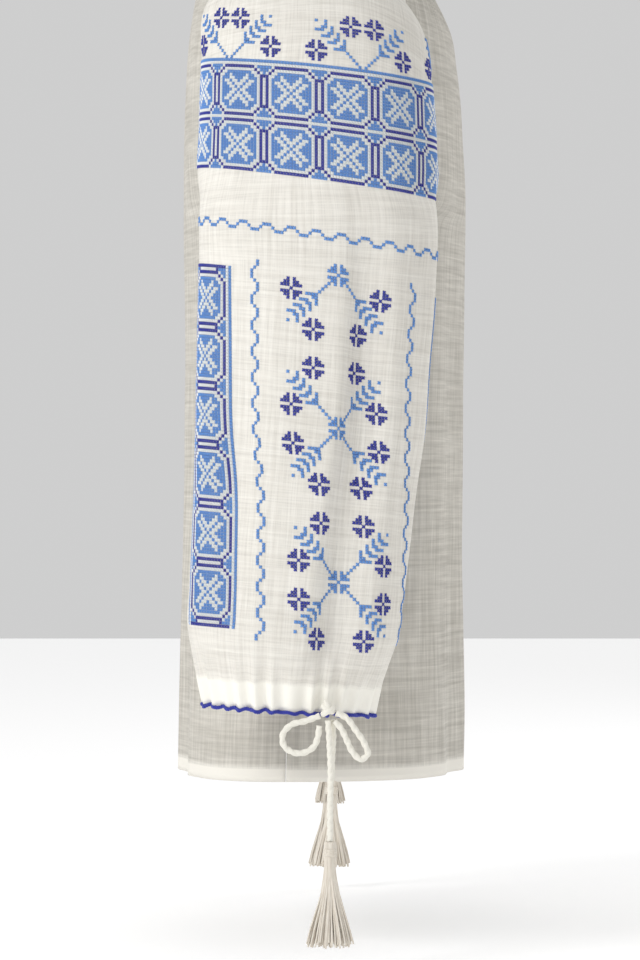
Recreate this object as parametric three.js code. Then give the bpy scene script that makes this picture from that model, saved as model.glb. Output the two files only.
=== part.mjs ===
// Romanian ie: a gathered linen blouse with long full sleeves, drawstring cuffs and tassels.
// Millimetres, +Z up. The wearer faces -Y, and the wearer's right side is at -X.
// The origin is the middle of the neck opening, level with the shoulders.
import * as THREE from 'three';
import { mergeVertices } from 'three/addons/utils/BufferGeometryUtils.js';

const clothWall = 1.5;
const turnedWall = 3.2; // cloth turned in and stitched: the hem and the cuff's drawstring casing
const seamGap = 0.3;
const hemTurn = 13;
const panelColumns = 20; // even, so that the middle of each panel is a column
const sleeveColumns = 40;
const neckBinding = { height: 9, wall: 3, lean: 0.8 };
const cuffEdging = { height: 2.4, wall: 3 };
const gathers = { neck: 1.6, cuff: 3.4 }; // how far each ripple stands from the smooth cloth
const cord = { diameter: 5, sides: 8, standOff: 11 }; // stand-off: cord's middle outside the cuff

const table = (names, rows) => rows.map(
  (row) => Object.fromEntries(names.map((name, index) => [name, row[index]])));

// Sections of the body from the neck to the underarm. Each is half a rounded outline of the
// given width and depths, cut off at the raglan seam, and its middle and seam ends have their
// own heights, because the neck is lower in front than behind.
const yokeRows = table(
  ['width', 'front', 'back', 'round', 'sideY', 'seamX', 'frontZ', 'frontSeamZ', 'backZ', 'backSeamZ'], [
    [98, 88, 76, 2.0, 0, 66, -52, -35, 8, 2],
    [116, 100, 87, 2.0, 0, 84, -72, -60, -8, -16],
    [132, 110, 96, 2.05, 0, 103, -95, -88, -32, -40],
    [146, 114, 103, 2.15, 0, 120, -122, -117, -60, -66],
    [158, 117, 109, 2.3, 0, 136, -153, -150, -98, -102],
    [166, 119, 112, 2.45, 1, 150, -190, -188, -147, -149],
    [170, 121, 113, 2.6, 1, 162, -227, -226, -205, -206],
    [169.5, 121.5, 113, 2.6, 1.2, 166.5, -244, -243, -233, -234],
    [168, 122, 113, 2.6, 1.5, 168, -255, -255, -255, -255],
  ]);

// Level sections of the body from below the underarm to the hem.
const skirtRows = table(
  ['z', 'width', 'front', 'back', 'sideY', 'wall'], [
    [-315, 169, 121, 112, 5, clothWall],
    [-400, 172, 120, 112, 12, clothWall],
    [-500, 179, 119, 113, 19, clothWall],
    [-600, 187, 119, 116, 24, clothWall],
    [-700 + hemTurn + 1, 194, 120, 118, 27, clothWall],
    [-700 + hemTurn, 194, 120, 118, 27, turnedWall],
    [-700, 195, 120, 118, 27, turnedWall],
  ]);

// Sleeve sections above the underarm, from the front raglan seam over the outside of the arm
// to the back one: the outermost point, and how far round the arc each seam lies.
const capRows = table(
  ['outX', 'outZ', 'midY', 'frontAngle', 'backAngle'], [
    [-98, 0, 0, 48, 48],
    [-132, -10, 1, 66, 68],
    [-168, -25, 1, 84, 92],
    [-204, -48, 1, 104, 116],
    [-233, -78, 1, 126, 136],
    [-259, -124, 1.5, 134, 140],
    [-274, -180, 1.5, 144, 148.5],
    [-280, -222, 1.5, 156, 159],
  ]);

// Sleeve sections below the underarm: whole ovals, higher at the back by their tilt.
const armRows = table(
  ['z', 'tilt', 'outX', 'inX', 'frontY', 'backY', 'wall'], [
    [-255, 0, -284, -169.2, -91, 94, clothWall],
    [-310, 5, -290, -177, -90, 94, clothWall],
    [-365, 7, -295, -182, -85, 95, clothWall],
    [-417, 7, -300, -187, -81, 96, clothWall],
    [-465, 6, -305, -192, -74, 97, clothWall],
    [-510, 5.5, -308, -196, -69, 99, clothWall],
    [-550, 5, -312, -201, -64, 101, clothWall],
    [-580, 4.5, -314, -203, -60, 102, clothWall],
    [-602, 4, -311, -205, -52, 98, clothWall],
    [-619, 3.5, -306, -206, -45, 94, turnedWall],
    [-638, 3.5, -300, -206, -40, 90, turnedWall],
  ]);

// Long soft folds of the sleeve. Around: distance along the cloth from its outermost line,
// negative to the front. Steep and gentle: the widths of the fold's back and front slopes.
const sleeveFolds = table(
  ['around', 'steep', 'gentle', 'topZ', 'bottomZ', 'depth'], [
    [-34, 20, 40, -230, -630, 12],
    [62, 24, 30, -250, -600, 4],
    [-88, 26, 26, -180, -560, 4],
    [150, 34, 34, -300, -620, 6],
    [-165, 34, 34, -300, -620, 6],
  ]);

// Folds of the body, on the front (-1) and the back (+1). Across: distance from the middle.
const bodyFolds = table(
  ['side', 'across', 'halfWidth', 'topZ', 'depth'], [
    [-1, 0, 45, -130, 5],
    [-1, 84, 40, -160, 6],
    [-1, -92, 42, -150, 6],
    [1, 22, 45, -120, 6],
    [1, 108, 38, -170, 5],
    [1, -84, 40, -140, 6],
  ]);

// The cord's middle line in the plane of the bow, as distances towards the back and up.
const bowCentre = [-6, -636];
const leftLoop = [[0, -641], [11, -645], [22, -648], [28, -655], [27.5, -663], [21, -668.5],
  [11, -668.5], [4.5, -664], [1.4, -656], [0.6, -648.5]];
const rightLoop = [[-12, -639], [-19, -642], [-27, -652], [-34, -663], [-36, -670], [-31, -674],
  [-25, -669], [-20, -659], [-15.5, -650], [-11, -645]];
// The two hanging ends, with how far each lies behind the plane of the bow.
const frontEnd = [[0, -6, -644.5], [0, -7, -659], [0, -8, -680], [0, -7.7, -710], [0, -7.6, -735.8]];
const backEnd = [[4, -9, -645], [9, -10, -656], [16, -9.5, -668], [19.5, -9, -680], [20, -9, -691.3]];

const tasselShape = {
  front: { top: -736.3, head: 10, length: 80, halfWidth: 19.5, y: -7.6, behind: 0, flat: 0.6 },
  back: { top: -691.8, head: 9, length: 65, halfWidth: 15, y: -9, behind: 20, flat: 0.55 },
};

const linen = { color: 0xe6e2d9, roughness: 0.9 };
const edgingBlue = { color: 0x3c44a5, roughness: 0.75 };
const cordWhite = { color: 0xeceadd, roughness: 0.85 };
const tasselWhite = { color: 0xe7e0d3, roughness: 0.9 };

const blouse = new THREE.Group();

function addPiece(name, geometry, look) {
  const mesh = new THREE.Mesh(geometry, new THREE.MeshStandardMaterial({ metalness: 0, ...look }));
  mesh.name = name;
  blouse.add(mesh);
}

// Points at equal steps along a line, leaving a margin at both ends.
function evenSteps(line, count, margin) {
  const reach = [0];
  for (let i = 1; i < line.length; i += 1) {
    reach.push(reach[i - 1] + line[i].distanceTo(line[i - 1]));
  }
  const total = reach[line.length - 1];
  const points = [];
  let i = 1;
  for (let step = 0; step <= count; step += 1) {
    const goal = margin + ((total - 2 * margin) * step) / count;
    while (i < line.length - 1 && reach[i] < goal) i += 1;
    const part = (goal - reach[i - 1]) / (reach[i] - reach[i - 1]);
    points.push(line[i - 1].clone().lerp(line[i], part));
  }
  return points;
}

const softRise = (t) => THREE.MathUtils.smoothstep(t, 0, 1);
const hump = (t) => (Math.abs(t) < 1 ? Math.cos((t * Math.PI) / 2) ** 2 : 0);

// ---- grids of cloth points: rows run down, columns run round, the outside facing out ----

const bodyRows = [
  ...yokeRows.map((row) => ({ ...row, wall: clothWall })),
  ...skirtRows.map((row) => ({
    ...row, round: 2.6, seamX: row.width, frontZ: row.z, frontSeamZ: row.z, backZ: row.z, backSeamZ: row.z,
  })),
];

// A point of the body's outline, x millimetres from the middle. Side is -1 in front, +1 behind.
function bodyPoint(row, side, x) {
  const depth = side < 0 ? row.front + row.sideY : row.back - row.sideY;
  const middleZ = side < 0 ? row.frontZ : row.backZ;
  const seamZ = side < 0 ? row.frontSeamZ : row.backSeamZ;
  const rest = Math.max(0, 1 - (x / row.width) ** row.round) ** (1 / row.round);
  return new THREE.Vector3(x, row.sideY + side * depth * rest, middleZ + (seamZ - middleZ) * (x / row.seamX) ** 2);
}

function panelGrid(side) {
  const fineSteps = 240;
  const grid = bodyRows.map((row) => {
    const half = [];
    for (let i = 0; i <= fineSteps; i += 1) {
      half.push(bodyPoint(row, side, row.seamX * Math.sin((i / fineSteps) * (Math.PI / 2))));
    }
    const mirrored = half.slice(1).reverse().map((p) => new THREE.Vector3(-p.x, p.y, p.z));
    const line = [...mirrored, ...half];
    const points = evenSteps(line, panelColumns, seamGap / 2);
    return side < 0 ? points.reverse() : points;
  });
  const normals = gridNormals(grid, Infinity);
  grid.forEach((points, j) => points.forEach((point, i) => {
    if (i === 0 || i === panelColumns) return;
    const fade = softRise(Math.min(i, panelColumns - i) / 3);
    let move = j < 2 ? ((i % 2) * 2 - 1) * gathers.neck * (1 - j / 2) : 0;
    for (const fold of bodyFolds.filter((each) => each.side === side)) {
      const down = softRise((fold.topZ - point.z) / 200);
      move -= fold.depth * down * fade * hump((point.x - fold.across) / fold.halfWidth);
    }
    point.addScaledVector(normals[j][i], move);
  }));
  return grid;
}

// One side of a sleeve section: an arc from the outermost point to where it ends.
function sleeveArc(out, end, angle, depth, rise) {
  const fineSteps = 120;
  const width = (end.x - out.x) / (1 - Math.cos(angle));
  const points = [];
  for (let i = 0; i <= fineSteps; i += 1) {
    const turn = (angle * i) / fineSteps;
    const x = out.x + width * (1 - Math.cos(turn));
    const y = out.y + depth * Math.sin(turn);
    points.push(new THREE.Vector3(x, y, rise(x, y)));
  }
  return points;
}

function capLine(row, bodyRow) {
  const out = new THREE.Vector3(row.outX, row.midY, row.outZ);
  const arcs = [-1, 1].map((side) => {
    const end = bodyPoint(bodyRow, side, bodyRow.seamX);
    end.x = -end.x;
    const angle = THREE.MathUtils.degToRad(side < 0 ? row.frontAngle : row.backAngle);
    const depth = (end.y - out.y) / Math.sin(angle);
    const rise = (x) => out.z + ((end.z - out.z) * (x - out.x)) / (end.x - out.x);
    return sleeveArc(out, end, angle, depth, rise);
  });
  return [...arcs[0].reverse(), ...arcs[1].slice(1)];
}

function armLine(row) {
  const out = new THREE.Vector3(row.outX, (row.frontY + row.backY) / 2, row.z);
  const end = new THREE.Vector3(row.inX, out.y, row.z);
  const depth = (row.backY - row.frontY) / 2;
  const slope = Math.tan(THREE.MathUtils.degToRad(row.tilt));
  const rise = (x, y) => row.z + slope * (y - out.y);
  const front = sleeveArc(out, end, Math.PI, -depth, rise);
  const back = sleeveArc(out, end, Math.PI, depth, rise);
  return [...front.reverse(), ...back.slice(1)];
}

function sleeveGrid() {
  const lines = [
    ...capRows.map((row, j) => evenSteps(capLine(row, yokeRows[j]), sleeveColumns, seamGap / 2)),
    ...armRows.map((row) => evenSteps(armLine(row), sleeveColumns, 0)),
  ];
  const normals = gridNormals(lines, capRows.length);
  const last = lines.length - 1;
  const cuffGather = [1, 0.9, 0.55, 0.2]; // from the cuff's edge up
  lines.forEach((points, j) => {
    const outer = points.reduce((best, p, i) => (p.x < points[best].x ? i : best), 0);
    const along = points.map((p, i) => (i === 0 ? 0 : p.distanceTo(points[i - 1])));
    let around = -along.slice(1, outer + 1).reduce((sum, step) => sum + step, 0);
    points.forEach((point, i) => {
      around += along[i];
      const openEnd = j <= capRows.length && (i === 0 || i === sleeveColumns);
      if (openEnd) return;
      const ripple = (i % 2) * 2 - 1;
      let move = j < 2 ? ripple * gathers.neck * (1 - j / 2) : 0;
      move += ripple * gathers.cuff * (cuffGather[last - j] ?? 0);
      for (const fold of sleeveFolds) {
        const slope = around < fold.around ? fold.gentle : fold.steep;
        const down = softRise((fold.topZ - point.z) / 160) * softRise((point.z - fold.bottomZ) / 60);
        move -= fold.depth * down * hump((around - fold.around) / slope);
      }
      point.addScaledVector(normals[j][i], move);
    });
  });
  return lines;
}

// The outward direction at each point. From row closedFrom on, the two ends of a row meet.
function gridNormals(grid, closedFrom) {
  return grid.map((points, j) => points.map((point, i) => {
    const last = points.length - 1;
    const closed = j >= closedFrom;
    const before = i > 0 ? points[i - 1] : points[closed ? last - 1 : 0];
    const after = i < last ? points[i + 1] : points[closed ? 1 : last];
    const above = grid[Math.max(j - 1, 0)][i];
    const below = grid[Math.min(j + 1, grid.length - 1)][i];
    const round = after.clone().sub(before);
    return round.cross(below.clone().sub(above)).normalize();
  }));
}

// ---- solids ----

function closedGeometry(corners, faces) {
  const geometry = new THREE.BufferGeometry();
  geometry.setAttribute('position', new THREE.Float32BufferAttribute(corners.flatMap((p) => p.toArray()), 3));
  geometry.setIndex(faces.flatMap(([a, b, c, d]) => [a, b, c, a, c, d]));
  return geometry;
}

// A wall of cloth: the grid is its outer face, and its inner face lies one wall further in.
// From row closedFrom on, the wall is a tube; above that it has two free side edges.
function clothSolid(grid, normals, closedFrom, walls) {
  const columns = grid[0].length - 1;
  const corners = [];
  const outer = [];
  const inner = [];
  grid.forEach((points, j) => {
    const count = j >= closedFrom ? columns : columns + 1;
    outer.push(points.map((p, i) => corners.length + (i % count)));
    corners.push(...points.slice(0, count));
    inner.push(points.map((p, i) => corners.length + (i % count)));
    corners.push(...points.slice(0, count).map((p, i) => p.clone().addScaledVector(normals[j][i], -walls[j])));
  });
  const faces = [];
  for (let j = 0; j < grid.length - 1; j += 1) {
    for (let i = 0; i < columns; i += 1) {
      faces.push([outer[j][i], outer[j][i + 1], outer[j + 1][i + 1], outer[j + 1][i]]);
      faces.push([inner[j][i], inner[j + 1][i], inner[j + 1][i + 1], inner[j][i + 1]]);
    }
    if (j < closedFrom) {
      faces.push([outer[j][0], outer[j + 1][0], inner[j + 1][0], inner[j][0]]);
      faces.push([outer[j][columns], inner[j][columns], inner[j + 1][columns], outer[j + 1][columns]]);
    }
  }
  const bottom = grid.length - 1;
  for (let i = 0; i < columns; i += 1) {
    faces.push([outer[0][i], inner[0][i], inner[0][i + 1], outer[0][i + 1]]);
    faces.push([outer[bottom][i], outer[bottom][i + 1], inner[bottom][i + 1], inner[bottom][i]]);
  }
  return closedGeometry(corners, faces);
}

// A closed band whose section has four corners, given as four rings of points.
function bandSolid(rings) {
  const count = rings[0].length;
  const faces = [];
  rings.forEach((ring, k) => {
    const next = (k + 1) % rings.length;
    for (let i = 0; i < count; i += 1) {
      const after = (i + 1) % count;
      faces.push([k * count + i, k * count + after, next * count + after, next * count + i]);
    }
  });
  return closedGeometry(rings.flat(), faces);
}

const mirrorPoint = (p) => new THREE.Vector3(-p.x, p.y, p.z);
const mirrorGrid = (grid) => grid.map((points) => points.map(mirrorPoint).reverse());

const front = panelGrid(-1);
const back = panelGrid(1);
const rightSleeve = sleeveGrid();
const leftSleeve = mirrorGrid(rightSleeve);
const frontOut = gridNormals(front, Infinity);
const backOut = gridNormals(back, Infinity);
const sleeveOut = gridNormals(rightSleeve, capRows.length);

// Where two walls meet along a seam, both take the direction halfway between theirs, so that
// their edges are mitred and neither crosses into the other.
bodyRows.forEach((row, j) => {
  const meetings = [[frontOut[j], panelColumns, 0, 0], [backOut[j], 0, panelColumns, sleeveColumns]];
  for (const [panel, rightEdge, leftEdge, sleeveEdge] of meetings) {
    const shared = panel[rightEdge].clone();
    if (j < capRows.length) {
      shared.add(sleeveOut[j][sleeveEdge]).normalize();
      sleeveOut[j][sleeveEdge] = shared;
    } else shared.setY(0).normalize();
    panel[rightEdge] = shared;
    panel[leftEdge] = mirrorPoint(shared);
  }
});
const bodyWalls = bodyRows.map((row) => row.wall);
const sleeveWalls = [...capRows.map(() => clothWall), ...armRows.map((row) => row.wall)];

addPiece('front', clothSolid(front, frontOut, Infinity, bodyWalls), linen);
addPiece('back', clothSolid(back, backOut, Infinity, bodyWalls), linen);
addPiece('sleeve_right', clothSolid(rightSleeve, sleeveOut, capRows.length, sleeveWalls), linen);
addPiece('sleeve_left', clothSolid(leftSleeve, mirrorGrid(sleeveOut), capRows.length, sleeveWalls), linen);

// The neck binding stands on the gathered top edges, leaning in.
function neckBindingSolid() {
  const stepsEach = { body: 16, sleeve: 12 };
  const neckRow = yokeRows[0];
  const ring = [];
  const along = (side, from, to, count) => {
    for (let i = 0; i < count; i += 1) {
      ring.push(bodyPoint(neckRow, side, 0).set(0, 0, 0));
      const x = from + ((to - from) * i) / count;
      ring[ring.length - 1].copy(bodyPoint(neckRow, side, Math.abs(x)));
      ring[ring.length - 1].x = x;
    }
  };
  const shoulder = evenSteps(capLine(capRows[0], neckRow), stepsEach.sleeve, 0);
  along(-1, neckRow.seamX, -neckRow.seamX, stepsEach.body);
  ring.push(...shoulder.slice(0, -1));
  along(1, -neckRow.seamX, neckRow.seamX, stepsEach.body);
  ring.push(...shoulder.map(mirrorPoint).reverse().slice(0, -1));
  const inward = ring.map((p) => new THREE.Vector3(-p.x, -p.y, 0).normalize());
  const upward = inward.map((d) => d.clone().setZ(neckBinding.lean).normalize());
  const clear = seamGap + gathers.neck;
  const place = (up, across) => ring.map(
    (p, i) => p.clone().addScaledVector(upward[i], up).addScaledVector(inward[i], across));
  return bandSolid([
    place(clear, -neckBinding.wall / 2),
    place(clear, neckBinding.wall / 2),
    place(clear + neckBinding.height, neckBinding.wall / 2),
    place(clear + neckBinding.height, -neckBinding.wall / 2),
  ]);
}

// The worked edging hangs on the wavy edge of the cuff.
function cuffEdgingSolid(grid) {
  const bottom = grid.length - 1;
  const edge = grid[bottom].slice(0, -1);
  const out = gridNormals(grid, capRows.length)[bottom];
  const place = (down, across) => edge.map(
    (p, i) => p.clone().addScaledVector(out[i], -across).setZ(p.z - down));
  const low = seamGap + cuffEdging.height;
  return bandSolid([
    place(low, 0),
    place(low, cuffEdging.wall),
    place(seamGap + 0.2, cuffEdging.wall),
    place(seamGap + 0.2, 0),
  ]);
}

addPiece('neck_binding', neckBindingSolid(), linen);
addPiece('cuff_edging_right', cuffEdgingSolid(rightSleeve), edgingBlue);
addPiece('cuff_edging_left', cuffEdgingSolid(leftSleeve), edgingBlue);

// ---- drawstrings: a bow's knot, two loops and two ends with tassels at each cuff ----

const bowX = armRows[armRows.length - 1].outX - cord.standOff;

function cordSolid(points, steps) {
  const section = new THREE.Shape();
  for (let k = 0; k < cord.sides; k += 1) {
    const turn = (2 * Math.PI * k) / cord.sides;
    const place = [(cord.diameter / 2) * Math.cos(turn), (cord.diameter / 2) * Math.sin(turn)];
    if (k === 0) section.moveTo(...place);
    else section.lineTo(...place);
  }
  const path = new THREE.CatmullRomCurve3(points, false, 'centripetal');
  return new THREE.ExtrudeGeometry(section, { steps, bevelEnabled: false, extrudePath: path });
}

function knotSolid(side) {
  const knot = new THREE.SphereGeometry(1, 12, 8);
  knot.scale(6.5, 6, 6.5);
  knot.translate(side * Math.abs(bowX), ...bowCentre);
  return knot;
}

// Head, bound neck and flaring skirt, turned about a vertical line and pressed a little flat.
function tasselSolid(shape, side) {
  const headRadius = 4.6;
  const neckRadius = 3.8;
  const outline = [
    [0, 0], [headRadius * 0.7, 0], [headRadius, -shape.head * 0.4], [neckRadius, -shape.head],
    [shape.halfWidth * 0.5, -shape.head - (shape.length - shape.head) * 0.35],
    [shape.halfWidth * 0.86, -shape.head - (shape.length - shape.head) * 0.75],
    [shape.halfWidth, -shape.length * 0.97], [shape.halfWidth * 0.9, -shape.length], [0, -shape.length],
  ].map(([radius, down]) => new THREE.Vector2(radius, down)).reverse();
  const tassel = new THREE.LatheGeometry(outline, 14);
  tassel.rotateX(Math.PI / 2);
  tassel.scale(shape.flat, 1, 1);
  tassel.translate(side * (Math.abs(bowX) - shape.behind), shape.y, shape.top);
  return tassel;
}

function mergedSolid(geometry) {
  geometry.deleteAttribute('normal');
  geometry.deleteAttribute('uv');
  return mergeVertices(geometry, 1e-3);
}

for (const [hand, side] of [['right', -1], ['left', 1]]) {
  const inBow = ([y, z]) => new THREE.Vector3(side * Math.abs(bowX), y, z);
  const hanging = ([behind, y, z]) => new THREE.Vector3(side * (Math.abs(bowX) - behind), y, z);
  addPiece(`knot_${hand}`, mergedSolid(knotSolid(side)), cordWhite);
  addPiece(`bow_loop_back_${hand}`, mergedSolid(cordSolid(leftLoop.map(inBow), 14)), cordWhite);
  addPiece(`bow_loop_front_${hand}`, mergedSolid(cordSolid(rightLoop.map(inBow), 14)), cordWhite);
  addPiece(`cord_end_outer_${hand}`, mergedSolid(cordSolid(frontEnd.map(hanging), 10)), cordWhite);
  addPiece(`cord_end_inner_${hand}`, mergedSolid(cordSolid(backEnd.map(hanging), 6)), cordWhite);
  addPiece(`tassel_outer_${hand}`, mergedSolid(tasselSolid(tasselShape.front, side)), tasselWhite);
  addPiece(`tassel_inner_${hand}`, mergedSolid(tasselSolid(tasselShape.back, side)), tasselWhite);
}

export default blouse;
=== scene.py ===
import math
import bpy
import numpy as np
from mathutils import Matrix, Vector


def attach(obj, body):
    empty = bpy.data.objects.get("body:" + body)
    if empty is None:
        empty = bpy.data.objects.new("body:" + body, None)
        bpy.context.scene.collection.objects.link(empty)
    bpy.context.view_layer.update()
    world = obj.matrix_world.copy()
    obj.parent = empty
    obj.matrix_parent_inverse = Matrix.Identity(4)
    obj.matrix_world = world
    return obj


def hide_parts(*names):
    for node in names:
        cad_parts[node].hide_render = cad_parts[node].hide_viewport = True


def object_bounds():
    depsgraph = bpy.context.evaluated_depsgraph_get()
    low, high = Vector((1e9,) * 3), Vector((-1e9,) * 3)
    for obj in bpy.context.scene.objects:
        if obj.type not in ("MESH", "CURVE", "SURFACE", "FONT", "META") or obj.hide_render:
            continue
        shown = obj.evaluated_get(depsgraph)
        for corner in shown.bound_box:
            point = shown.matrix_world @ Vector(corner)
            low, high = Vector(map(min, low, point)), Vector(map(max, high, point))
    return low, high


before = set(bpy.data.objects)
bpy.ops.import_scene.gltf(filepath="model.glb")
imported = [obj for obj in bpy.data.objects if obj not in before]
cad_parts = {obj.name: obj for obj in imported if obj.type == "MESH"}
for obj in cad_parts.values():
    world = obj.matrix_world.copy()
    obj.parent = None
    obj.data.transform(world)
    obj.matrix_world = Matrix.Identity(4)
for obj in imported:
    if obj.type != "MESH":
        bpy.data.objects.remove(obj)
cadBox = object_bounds()
mm = 0.001

# Camera: level with the middle of the sleeve, on the wearer's right.
view = {"x": -3.29, "z": -0.463, "distance": 3.0, "tall": 0.730}
cameraData = bpy.data.cameras.new("camera")
cameraData.sensor_width = 36
cameraData.lens = 36 * view["distance"] / view["tall"]
cameraData.clip_end = 50
camera = bpy.data.objects.new("camera", cameraData)
camera.location = (view["x"], 0, view["z"])
camera.rotation_euler = (math.radians(90), 0, math.radians(-90))
bpy.context.scene.collection.objects.link(camera)
bpy.context.scene.camera = camera


# Small helpers.

def smoothStep(t):
    t = np.clip(t, 0, 1)
    return t * t * (3 - 2 * t)


def hump(t):
    return np.where(np.abs(t) < 1, np.cos(np.clip(t, -1, 1) * math.pi / 2) ** 2, 0)


def addMesh(name, corners, faces, material=None, smooth=True):
    mesh = bpy.data.meshes.new(name)
    mesh.from_pydata([tuple(p) for p in corners], [], faces)
    mesh.polygons.foreach_set("use_smooth", [smooth] * len(mesh.polygons))
    if material:
        mesh.materials.append(material)
    mesh.update()
    piece = bpy.data.objects.new(name, mesh)
    bpy.context.scene.collection.objects.link(piece)
    return piece


def unit(vectors):
    return vectors / np.maximum(np.linalg.norm(vectors, axis=-1, keepdims=True), 1e-9)


# A line through the points, at equal steps of its own length.
def evenSteps(line, count, margin=0.0):
    reach = np.concatenate([[0], np.cumsum(np.linalg.norm(np.diff(line, axis=0), axis=1))])
    goal = np.linspace(margin, reach[-1] - margin, count + 1)
    return np.stack([np.interp(goal, reach, line[:, k]) for k in range(3)], axis=1)


# A smooth curve through the given rows of points (first axis), sampled at the fractions given.
def smoothThrough(rows, places, at):
    slopes = np.gradient(rows, places, axis=0)
    index = np.clip(np.searchsorted(places, at, side="right") - 1, 0, len(places) - 2)
    span = places[index + 1] - places[index]
    t = (at - places[index]) / span
    shape = (len(at),) + (1,) * (rows.ndim - 1)
    t, span = t.reshape(shape), span.reshape(shape)
    low, high = rows[index], rows[index + 1]
    return ((2 * t**3 - 3 * t**2 + 1) * low + (t**3 - 2 * t**2 + t) * span * slopes[index]
            + (3 * t**2 - 2 * t**3) * high + (t**3 - t**2) * span * slopes[index + 1])


# Materials.

def shaderGroup(name, inputs, outputs):
    group = bpy.data.node_groups.new(name, "ShaderNodeTree")
    for label, kind, value in inputs:
        socket = group.interface.new_socket(label, in_out="INPUT", socket_type=kind)
        if value is not None:
            socket.default_value = value
    for label, kind in outputs:
        group.interface.new_socket(label, in_out="OUTPUT", socket_type=kind)
    return group, group.nodes.new("NodeGroupInput"), group.nodes.new("NodeGroupOutput")


# Slubby plain weave: uneven threads both ways, from the cloth's own map in metres.
def makeWeaveGroup():
    group, given, out = shaderGroup("slubWeave", [
        ("Cloth", "NodeSocketVector", None), ("Thread pitch", "NodeSocketFloat", 0.0011),
        ("Slub length", "NodeSocketFloat", 0.03)],
        [("Threads", "NodeSocketFloat"), ("Slubs", "NodeSocketFloat")])
    nodes, links = group.nodes, group.links
    split = nodes.new("ShaderNodeSeparateXYZ")
    links.new(given.outputs["Cloth"], split.inputs[0])

    def math2(operation, first, second):
        node = nodes.new("ShaderNodeMath")
        node.operation = operation
        for socket, value in zip(node.inputs, (first, second)):
            if isinstance(value, (int, float)):
                socket.default_value = value
            elif value is not None:
                links.new(value, socket)
        return node.outputs[0]

    heights, slubs = [], []
    for across, along in ((0, 1), (1, 0)):
        fine = math2("DIVIDE", split.outputs[across], given.outputs["Thread pitch"])
        slow = math2("DIVIDE", split.outputs[along], given.outputs["Slub length"])
        place = nodes.new("ShaderNodeCombineXYZ")
        links.new(fine, place.inputs[0])
        links.new(slow, place.inputs[1])
        place.inputs[2].default_value = 3.7 * across
        noise = nodes.new("ShaderNodeTexNoise")
        noise.inputs["Scale"].default_value = 1.0
        noise.inputs["Detail"].default_value = 2.0
        links.new(place.outputs[0], noise.inputs["Vector"])
        heights.append(noise.outputs["Fac"])
        coarse = nodes.new("ShaderNodeTexNoise")
        coarse.inputs["Scale"].default_value = 0.31
        coarse.inputs["Detail"].default_value = 3.0
        links.new(place.outputs[0], coarse.inputs["Vector"])
        slubs.append(coarse.outputs["Fac"])
    links.new(math2("MULTIPLY", math2("ADD", heights[0], heights[1]), 0.5), out.inputs["Threads"])
    links.new(math2("MULTIPLY", math2("ADD", slubs[0], slubs[1]), 0.5), out.inputs["Slubs"])
    return group


weaveGroup = makeWeaveGroup()


def newMaterial(name, roughness, sheen=0.0):
    material = bpy.data.materials.new(name)
    material.use_nodes = True
    shader = material.node_tree.nodes["Principled BSDF"]
    shader.inputs["Roughness"].default_value = roughness
    shader.inputs["Sheen Weight"].default_value = sheen
    shader.inputs["Specular IOR Level"].default_value = 0.2
    return material, material.node_tree.nodes, material.node_tree.links, shader


def mixColour(nodes, links, factor, low, high):
    ramp = nodes.new("ShaderNodeMix")
    ramp.data_type = "RGBA"
    ramp.inputs[6].default_value = (*low, 1)
    ramp.inputs[7].default_value = (*high, 1)
    links.new(factor, ramp.inputs[0])
    return ramp.outputs[2]


linenLooks = {
    "sleeveLinen": {"shade": (0.69, 0.66, 0.60), "light": (0.86, 0.835, 0.775), "doubled": (0.92, 0.90, 0.83),
                    "sheer": 0.93, "bump": 0.5},
    # The body's linen is the sleeve's cloth painted darker, its doubled hem too: painted shade of the
    # shadowed inside seen through the sheer cloth.
    "bodyLinen": {"shade": (0.46, 0.435, 0.385), "light": (0.73, 0.70, 0.635), "doubled": (0.85, 0.82, 0.75),
                  "sheer": 0.88, "bump": 0.5},
}


def makeLinen(name):
    look = linenLooks[name]
    material, nodes, links, shader = newMaterial(name, 0.85, 0.05)
    uv = nodes.new("ShaderNodeUVMap")
    uv.uv_map = "cloth"
    weave = nodes.new("ShaderNodeGroup")
    weave.node_tree = weaveGroup
    links.new(uv.outputs[0], weave.inputs["Cloth"])
    spread = nodes.new("ShaderNodeMapRange")
    spread.inputs["From Min"].default_value = 0.32
    spread.inputs["From Max"].default_value = 0.68
    links.new(weave.outputs["Slubs"], spread.inputs["Value"])
    tone = mixColour(nodes, links, spread.outputs[0], look["shade"], look["light"])
    layers = nodes.new("ShaderNodeAttribute")
    layers.attribute_name = "layers"
    blend = nodes.new("ShaderNodeMix")
    blend.data_type = "RGBA"
    links.new(layers.outputs["Fac"], blend.inputs[0])
    links.new(tone, blend.inputs[6])
    blend.inputs[7].default_value = (*look["doubled"], 1)
    links.new(blend.outputs[2], shader.inputs["Base Color"])
    see = nodes.new("ShaderNodeMapRange")
    see.inputs["From Min"].default_value = 0.3
    see.inputs["From Max"].default_value = 0.6
    see.inputs["To Min"].default_value = look["sheer"] - 0.1
    see.inputs["To Max"].default_value = look["sheer"] + 0.1
    links.new(weave.outputs["Threads"], see.inputs["Value"])
    solid = nodes.new("ShaderNodeMath")
    solid.operation = "MAXIMUM"
    links.new(see.outputs[0], solid.inputs[0])
    links.new(layers.outputs["Fac"], solid.inputs[1])
    links.new(solid.outputs[0], shader.inputs["Alpha"])
    bump = nodes.new("ShaderNodeBump")
    bump.inputs["Strength"].default_value = look["bump"]
    bump.inputs["Distance"].default_value = 0.0004
    links.new(weave.outputs["Threads"], bump.inputs["Height"])
    links.new(bump.outputs[0], shader.inputs["Normal"])
    return material


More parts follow.
